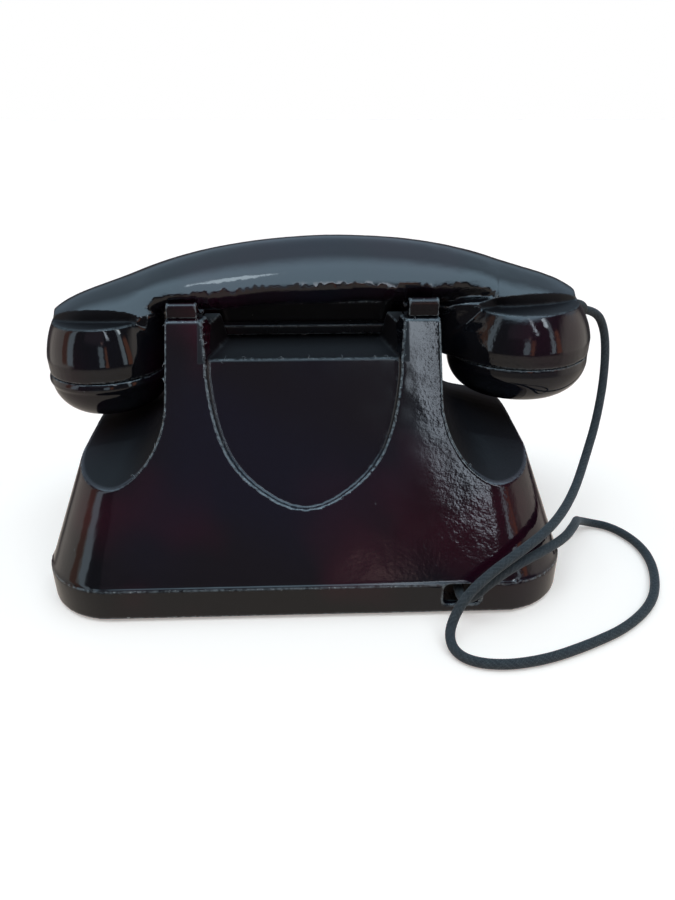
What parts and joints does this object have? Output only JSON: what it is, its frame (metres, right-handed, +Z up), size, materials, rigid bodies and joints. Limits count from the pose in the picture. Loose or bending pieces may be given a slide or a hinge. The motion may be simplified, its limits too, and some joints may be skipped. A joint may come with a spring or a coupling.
{
  "type": "desk telephone",
  "caption": "Black moulded desk telephone with a stepped housing, cradle towers, arched handset, braided cord and rotary dial.",
  "frame": {"origin": "centre of the base pad on the surface it stands on", "axes": "+X along the handset to the mouthpiece, +Y to the front with the dial, +Z up"},
  "size_m": [0.2737, 0.1983, 0.1403],
  "materials": {
    "black_moulding": "high gloss black paint over moulded phenolic",
    "black_cap": "gloss black moulded phenolic",
    "plated_steel": "zinc plated",
    "pad": "dark felt",
    "rubber": "matte",
    "dial_metal": "black stove enamel",
    "number_enamel": "ivory enamel",
    "brass": "machined",
    "contact_brass": "rolled strip",
    "gong_metal": "nickel plated",
    "winding": "varnished winding",
    "magnet_iron": "bare iron",
    "capacitor_can": "drawn can",
    "inner_moulding": "brown moulding",
    "capsule_metal": "spun shell",
    "cord_textile": "braided cotton"
  },
  "bodies": {
    "base": {"armature_pin": "plated_steel", "base_pad": "pad", "base_plate": "plated_steel", "base_screws": "plated_steel", "capacitor": "capacitor_can", "cord_clamp": "inner_moulding", "cradle_springs": "plated_steel", "dial_case": "dial_metal", "dial_clamp_ring": "plated_steel", "dial_return_spring": "plated_steel", "finger_stop": "dial_metal", "gong_left": "gong_metal", "gong_posts": "plated_steel", "gong_right": "gong_metal", "gong_screws": "brass", "handset_cord": "cord_textile", "hook_contact_springs": "contact_brass", "hook_pivot_pin": "plated_steel", "hook_switch_frame": "plated_steel", "housing": "black_moulding", "induction_coil": "winding", "induction_core": "magnet_iron", "line_cord_inlet": "rubber", "number_plate": "number_enamel", "pulse_contacts": "contact_brass", "ringer_coils": "winding", "ringer_frame": "plated_steel", "ringer_magnet": "magnet_iron", "terminal_block": "inner_moulding", "terminal_screws": "brass"},
    "cradle": {"cradle_bar": "black_moulding", "cradle_plunger": "plated_steel", "cradle_saddle_left": "black_moulding", "cradle_saddle_right": "black_moulding"},
    "hook_lever": {"hook_lever": "plated_steel"},
    "clapper": {"ringer_armature": "magnet_iron", "clapper": "brass"},
    "dial_wheel": {"finger_wheel": "dial_metal", "dial_card_cap": "dial_metal", "dial_shaft": "plated_steel", "dial_gear": "brass"},
    "governor": {"governor_pinion": "brass", "governor_rotor": "brass"},
    "handset": {"handset_handle": "black_moulding", "handset_bushing": "rubber", "earpiece_cap": "black_cap", "mouthpiece_cap": "black_cap", "receiver_capsule": "capsule_metal", "transmitter_capsule": "capsule_metal", "capsule_contacts": "contact_brass"}
  },
  "joints": [
    {"name": "handset_lift", "type": "slide", "parent": "base", "child": "handset", "axis": [0, 0, 1], "range_m": [0, 0.06]},
    {"name": "cradle_rise", "type": "slide", "parent": "base", "child": "cradle", "axis": [0, 0, 1], "range_m": [0, 0.005], "deforming": ["cradle_springs"]},
    {"name": "hook_lever_turn", "type": "hinge", "parent": "base", "child": "hook_lever", "pos_m": [0, -0.011, 0.066], "axis": [1, 0, 0], "range_deg": [0, 15]},
    {"name": "clapper_swing", "type": "hinge", "parent": "base", "child": "clapper", "pos_m": [0, -0.02, 0.02], "axis": [0, 0, 1], "range_deg": [-3.2, 3.2]},
    {"name": "dial_turn", "type": "hinge", "parent": "base", "child": "dial_wheel", "pos_m": [0, 0.05246, 0.05616], "axis": [0, -0.8112, -0.5848], "range_deg": [0, 330], "stiffness_Nm_per_rad": 0.01, "springref_deg": -57.3},
    {"name": "governor_spin", "type": "hinge", "parent": "base", "child": "governor", "pos_m": [0.0252, 0.05246, 0.05616], "axis": [0, -0.8112, -0.5848], "range_deg": [-1650, 0]}
  ],
  "couplings": [
    {"joint": "cradle_rise", "follows": "handset_lift", "ratio": 0.083333},
    {"joint": "hook_lever_turn", "follows": "handset_lift", "rad_per_m": 4.3633},
    {"joint": "governor_spin", "follows": "dial_turn", "ratio": -5}
  ]
}
